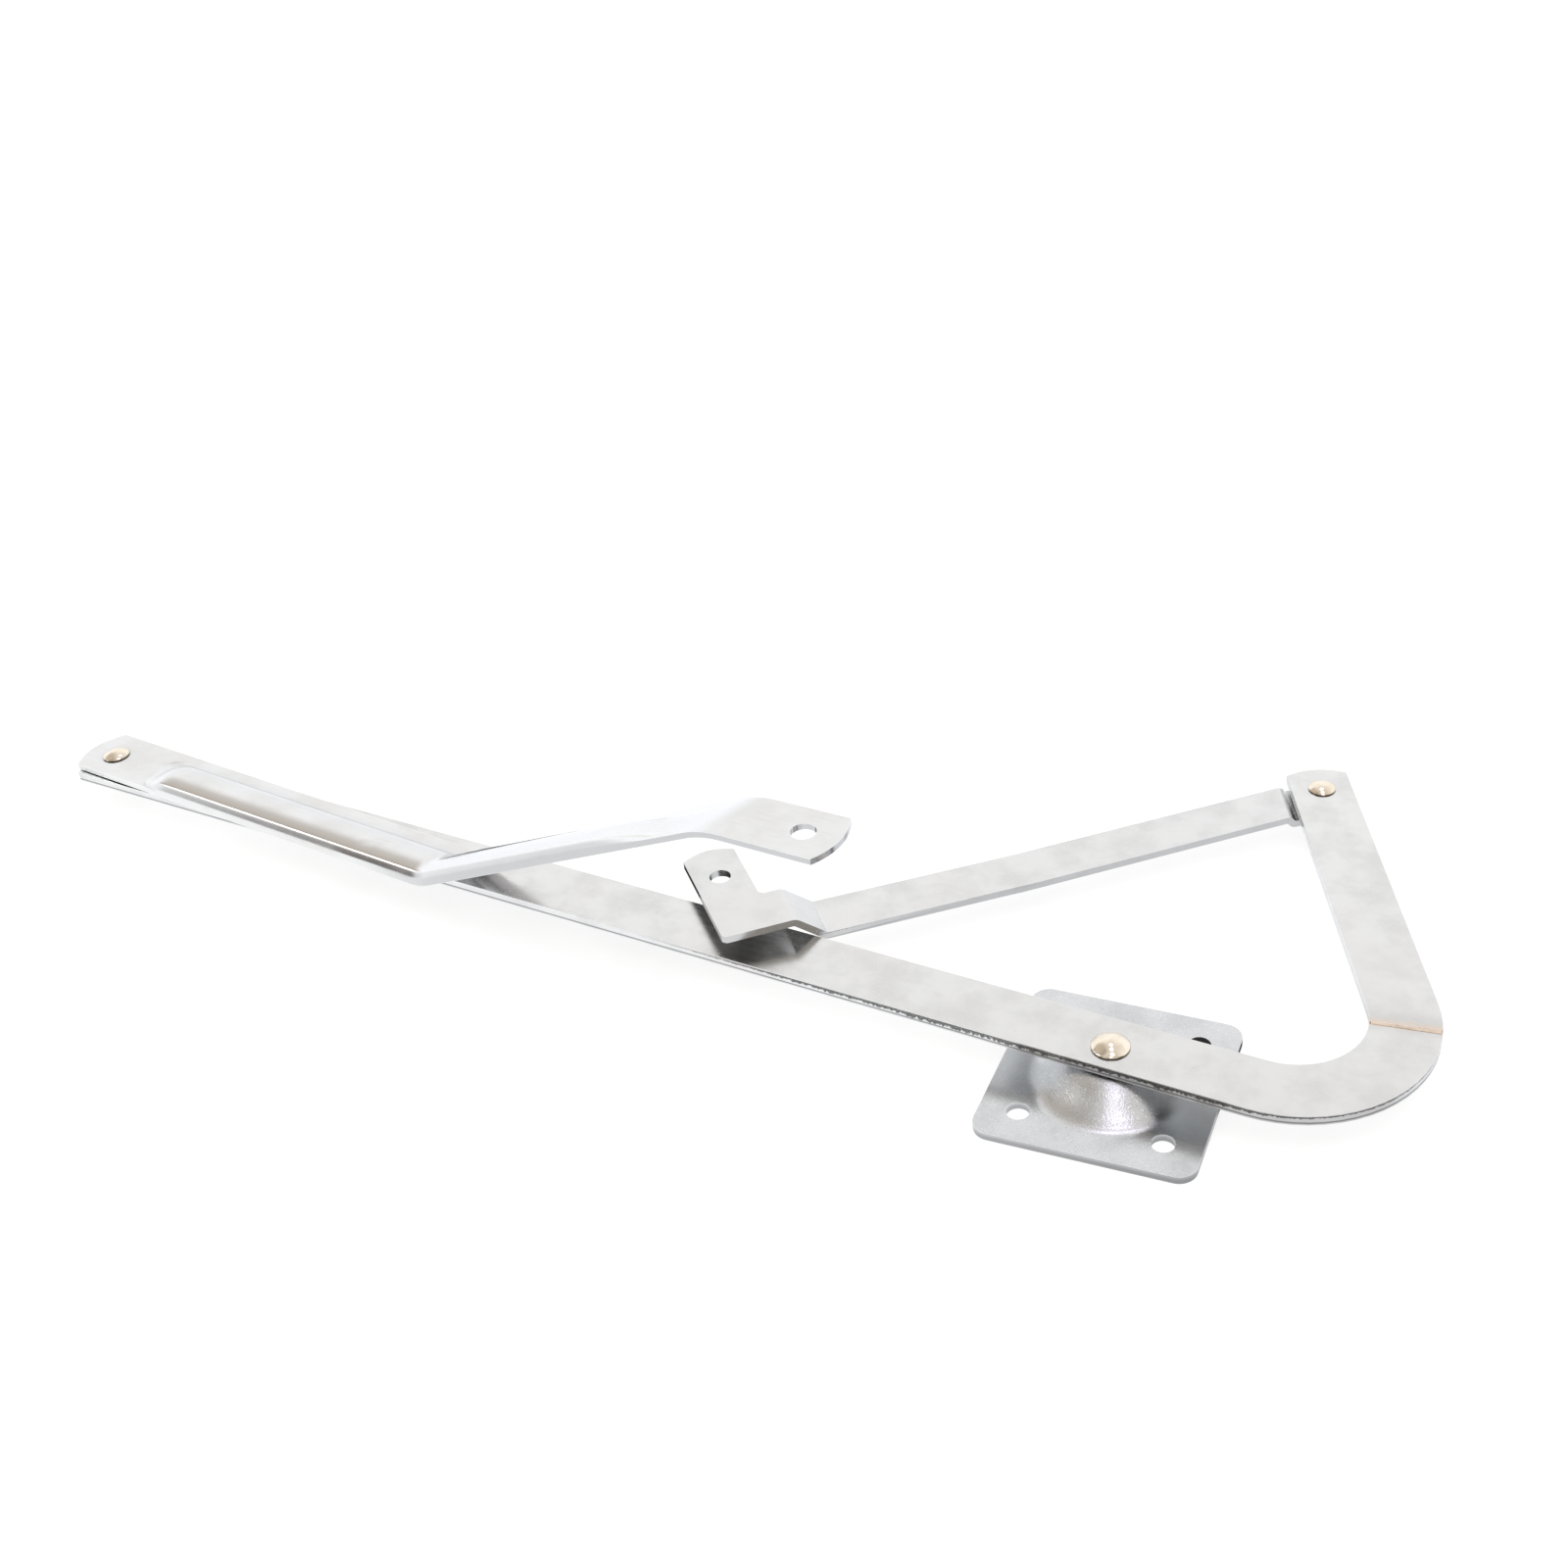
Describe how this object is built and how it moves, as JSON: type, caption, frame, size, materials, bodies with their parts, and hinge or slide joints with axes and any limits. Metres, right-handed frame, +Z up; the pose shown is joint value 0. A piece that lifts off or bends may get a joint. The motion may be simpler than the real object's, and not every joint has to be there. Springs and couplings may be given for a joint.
{
  "type": "folding roof bracket",
  "caption": "Flat steel hook bar riveted on a domed square base plate, with a stay link that ends in a raised tab and a ribbed cranked arm; every rivet is a pivot.",
  "frame": {"origin": "on the flat underside of the base plate's rim, 36 mm from the pivot rivet's axis on the side towards the hook", "axes": "+Z up out of the base plate along the three rivets; +X along the flat bar from its far, ribbed-arm end towards the hook; +Y to the side the hook opens to"},
  "size_m": [0.6013, 0.2417, 0.0891],
  "materials": {
    "plate_zinc": "bright clear zinc plating on pressed steel, slightly grainy",
    "bar_zinc": "bright clear zinc plating on cold rolled flat bar, satin",
    "sheet_zinc": "bright clear zinc plating on pressed sheet, semi-gloss",
    "washer_zinc": "zinc plating, satin",
    "weld_steel": "ground weld under plating, heat tinted brown",
    "rivet_nickel": "polished champagne nickel"
  },
  "bodies": {
    "base": {"base_plate": "plate_zinc", "pivot_rivet": "rivet_nickel", "pivot_spacer": "washer_zinc", "pivot_tail_washer": "washer_zinc"},
    "bar": {"main_bar": "bar_zinc", "hook_arm": "bar_zinc", "weld_seam": "weld_steel", "link_rivet": "rivet_nickel", "link_spacer": "washer_zinc", "link_tail_washer": "washer_zinc", "arm_rivet": "rivet_nickel", "arm_spacer": "washer_zinc", "arm_tail_washer": "washer_zinc"},
    "link": {"stay_link": "bar_zinc"},
    "arm": {"channel_arm": "sheet_zinc"}
  },
  "joints": [
    {"name": "bar_pivot", "type": "hinge", "parent": "base", "child": "bar", "pos_m": [-0.036, 0, 0.0125], "axis": [0, 0, 1], "range_deg": [-90, 90]},
    {"name": "link_pivot", "type": "hinge", "parent": "bar", "child": "link", "pos_m": [-0.01312, 0.18301, 0.0125], "axis": [0, 0, -1], "range_deg": [0, 8]},
    {"name": "arm_pivot", "type": "hinge", "parent": "bar", "child": "arm", "pos_m": [-0.517, 0.0034, 0.018], "axis": [0, 0, -1], "range_deg": [-30, 180]}
  ]
}
